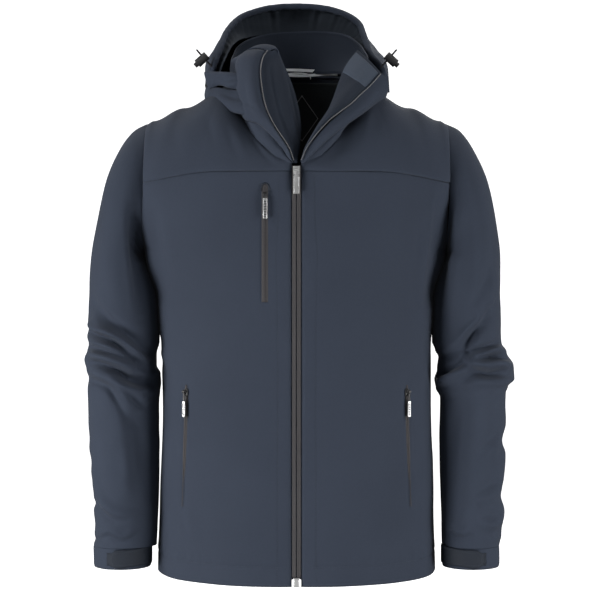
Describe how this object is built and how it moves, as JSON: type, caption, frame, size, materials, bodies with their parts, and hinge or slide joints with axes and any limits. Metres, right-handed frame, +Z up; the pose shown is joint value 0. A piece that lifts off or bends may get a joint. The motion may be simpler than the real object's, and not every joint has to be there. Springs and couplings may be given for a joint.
{
  "type": "foul weather jacket",
  "caption": "Hooded softshell foul weather jacket with full front zip, chest and hand zip pockets, and cuffs with hook-and-loop tabs, standing open at the collar as worn.",
  "frame": {"origin": "middle of the underside of the hanger loop's strand, at the back of the neck", "axes": "+Z up, the wearer faces -Y, +X towards the wearer's left"},
  "size_m": [0.636, 0.328, 0.8524],
  "materials": {
    "shell": "matte woven softshell, dark navy",
    "lining": "smooth dark lining",
    "facing": "matte knit-faced inner collar cloth, dark navy",
    "zip_tape": "reverse coil zip tape, dark grey",
    "bright_metal": "satin silver",
    "black_trim": "matte black",
    "tab": "moulded dark navy tab",
    "trim_webbing": "pale grey woven tape"
  },
  "bodies": {
    "root": {"back_panel": "shell", "back_yoke": "shell", "back_lining": "lining", "yoke_lining": "lining", "label_patch": "trim_webbing", "hem_facing": "shell", "chest_pocket_bag": "lining", "wind_flap": "facing", "collar": "shell", "collar_facing": "facing", "neck_tape": "trim_webbing", "left_collar_lapel": "facing", "right_collar_end": "shell", "hood": "shell", "hood_lining": "lining", "hood_rim_casing": "shell", "hanger_loop": "trim_webbing", "zip_retaining_box": "bright_metal", "chest_zip_tape": "zip_tape", "right_front_panel": "shell", "right_front_yoke": "shell", "right_front_lining": "lining", "right_hand_pocket_bag": "lining", "right_main_zip_tape": "zip_tape", "right_hand_zip_tape": "zip_tape", "right_hood_cord": "black_trim", "left_front_panel": "shell", "left_front_yoke": "shell", "left_front_lining": "lining", "left_hand_pocket_bag": "lining", "left_main_zip_tape": "zip_tape", "left_hand_zip_tape": "zip_tape", "left_hood_cord": "black_trim"},
    "main_slider": {"main_zip_slider": "bright_metal"},
    "main_puller": {"main_zip_puller": "bright_metal"},
    "chest_slider": {"chest_zip_slider": "black_trim"},
    "chest_puller": {"chest_zip_puller": "bright_metal"},
    "right_hand_slider": {"right_hand_zip_slider": "black_trim"},
    "right_hand_puller": {"right_hand_zip_puller": "bright_metal"},
    "left_hand_slider": {"left_hand_zip_slider": "black_trim"},
    "left_hand_puller": {"left_hand_zip_puller": "bright_metal"},
    "right_cord_lock": {"right_cord_lock_barrel": "black_trim"},
    "right_lock_plunger": {"right_cord_lock_plunger": "black_trim"},
    "right_upper_sleeve": {"right_upper_sleeve_top": "shell", "right_upper_sleeve_under": "shell"},
    "right_forearm": {"right_forearm_top": "shell", "right_forearm_under": "shell", "right_cuff": "shell", "right_cuff_hook_patch": "tab"},
    "right_cuff_tab": {"right_cuff_tab": "tab"},
    "left_cord_lock": {"left_cord_lock_barrel": "black_trim"},
    "left_lock_plunger": {"left_cord_lock_plunger": "black_trim"},
    "left_upper_sleeve": {"left_upper_sleeve_top": "shell", "left_upper_sleeve_under": "shell"},
    "left_forearm": {"left_forearm_top": "shell", "left_forearm_under": "shell", "left_cuff": "shell", "left_cuff_hook_patch": "tab"},
    "left_cuff_tab": {"left_cuff_tab": "tab"}
  },
  "joints": [
    {"name": "main_zip_slide", "type": "slide", "parent": "root", "child": "main_slider", "axis": [0, 0, 1], "range_m": [-0.56, 0]},
    {"name": "main_puller_swing", "type": "hinge", "parent": "main_slider", "child": "main_puller", "pos_m": [0, -0.2098, -0.16], "axis": [-1, 0, 0], "range_deg": [0, 150]},
    {"name": "chest_zip_slide", "type": "slide", "parent": "root", "child": "chest_slider", "axis": [0, -0.0028, 1], "range_m": [-0.14, 0]},
    {"name": "chest_puller_swing", "type": "hinge", "parent": "chest_slider", "child": "chest_puller", "pos_m": [-0.04432, -0.20858, -0.19501], "axis": [-0.9983, 0.0583, 0.0002], "range_deg": [0, 150]},
    {"name": "right_hand_zip_slide", "type": "slide", "parent": "root", "child": "right_hand_slider", "axis": [0.0345, -0.014, 0.9993], "range_m": [-0.15, 0]},
    {"name": "right_hand_puller_swing", "type": "hinge", "parent": "right_hand_slider", "child": "right_hand_puller", "pos_m": [-0.16075, -0.17018, -0.47493], "axis": [-0.78, 0.6247, 0.0356], "range_deg": [0, 150]},
    {"name": "left_hand_zip_slide", "type": "slide", "parent": "root", "child": "left_hand_slider", "axis": [-0.0345, -0.014, 0.9993], "range_m": [-0.15, 0]},
    {"name": "left_hand_puller_swing", "type": "hinge", "parent": "left_hand_slider", "child": "left_hand_puller", "pos_m": [0.16075, -0.17018, -0.47493], "axis": [-0.78, -0.6247, -0.0356], "range_deg": [0, 150]},
    {"name": "right_cord_lock_slide", "type": "slide", "parent": "root", "child": "right_cord_lock", "axis": [-0.662, -0.1605, 0.7322], "range_m": [-0.006, 0.004]},
    {"name": "right_lock_press", "type": "slide", "parent": "right_cord_lock", "child": "right_lock_plunger", "axis": [0.7418, 0, 0.6706], "range_m": [0, 0.003], "stiffness_N_per_m": 250, "springref_m": -0.004},
    {"name": "right_shoulder_swing", "type": "hinge", "parent": "root", "child": "right_upper_sleeve", "pos_m": [-0.222, -0.078, -0.084], "axis": [0, 1, 0], "range_deg": [0, 45]},
    {"name": "right_elbow_bend", "type": "hinge", "parent": "right_upper_sleeve", "child": "right_forearm", "pos_m": [-0.263, -0.1555, -0.44], "axis": [-1, 0, 0], "range_deg": [0, 70]},
    {"name": "right_cuff_tab_open", "type": "hinge", "parent": "right_forearm", "child": "right_cuff_tab", "pos_m": [-0.213, -0.1165, -0.7175], "axis": [0, 0, 1], "range_deg": [0, 45]},
    {"name": "left_cord_lock_slide", "type": "slide", "parent": "root", "child": "left_cord_lock", "axis": [0.662, -0.1605, 0.7322], "range_m": [-0.006, 0.004]},
    {"name": "left_lock_press", "type": "slide", "parent": "left_cord_lock", "child": "left_lock_plunger", "axis": [-0.7418, 0, 0.6706], "range_m": [0, 0.003], "stiffness_N_per_m": 250, "springref_m": -0.004},
    {"name": "left_shoulder_swing", "type": "hinge", "parent": "root", "child": "left_upper_sleeve", "pos_m": [0.222, -0.078, -0.084], "axis": [0, -1, 0], "range_deg": [0, 45]},
    {"name": "left_elbow_bend", "type": "hinge", "parent": "left_upper_sleeve", "child": "left_forearm", "pos_m": [0.263, -0.1555, -0.44], "axis": [-1, 0, 0], "range_deg": [0, 70]},
    {"name": "left_cuff_tab_open", "type": "hinge", "parent": "left_forearm", "child": "left_cuff_tab", "pos_m": [0.213, -0.1165, -0.7175], "axis": [0, 0, -1], "range_deg": [0, 45]}
  ]
}
